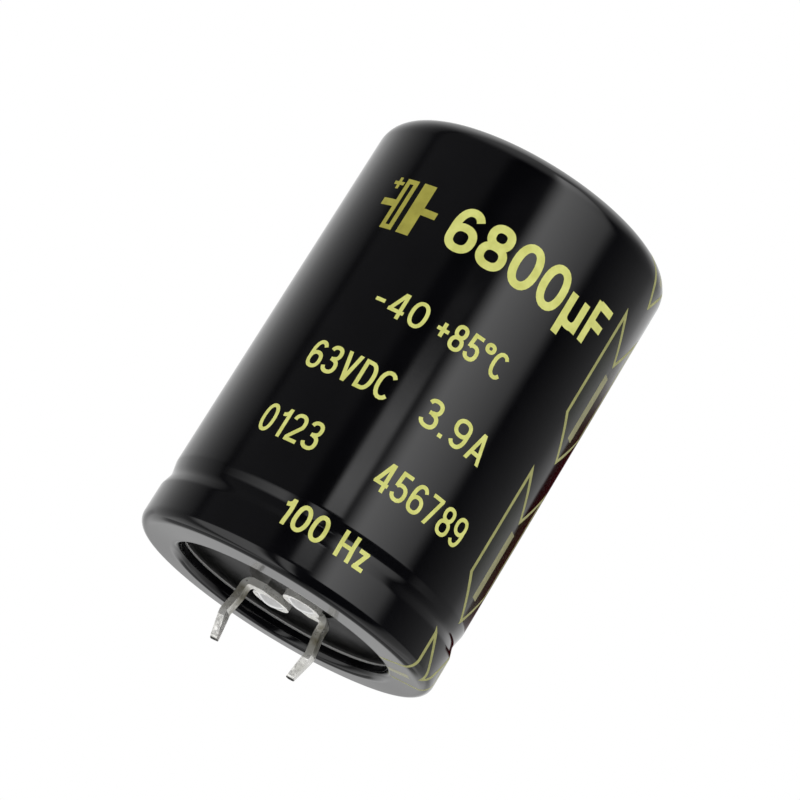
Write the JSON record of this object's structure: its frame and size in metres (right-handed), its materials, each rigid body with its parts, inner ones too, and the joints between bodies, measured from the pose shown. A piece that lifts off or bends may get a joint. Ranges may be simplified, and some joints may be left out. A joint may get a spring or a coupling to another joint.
{
  "type": "electrolytic capacitor",
  "caption": "Snap-in aluminium electrolytic capacitor: sleeved can with rolled bead, curled rim, recessed sealing disc and two kinked terminals.",
  "frame": {"origin": "centre of the seating plane, the lowest ring of the body, midway between the two legs", "axes": "+Z from the terminals to the closed end, +X from the middle to the negative terminal, where the sleeve's polarity stripe lies"},
  "size_m": [0.0356, 0.0356, 0.0586],
  "materials": {
    "can_aluminium": "satin",
    "sleeve_film": "gloss",
    "sleeve_print": "satin",
    "seal_rubber": "satin",
    "seal_board": "matt",
    "tinned_strip": "bright",
    "rivet_aluminium": "bright",
    "foil_aluminium": "satin",
    "roll_paper": "matt",
    "tape": "satin"
  },
  "bodies": {
    "root": {"can": "can_aluminium", "sleeve": "sleeve_film", "seal_facing": "seal_rubber", "seal_board": "seal_board", "terminal_positive": "tinned_strip", "terminal_negative": "tinned_strip", "rivet_positive": "rivet_aluminium", "rivet_negative": "rivet_aluminium", "washer_positive": "foil_aluminium", "washer_negative": "foil_aluminium", "tab_positive": "foil_aluminium", "tab_negative": "foil_aluminium", "winding": "roll_paper", "winding_tape": "tape"}
  },
  "joints": []
}
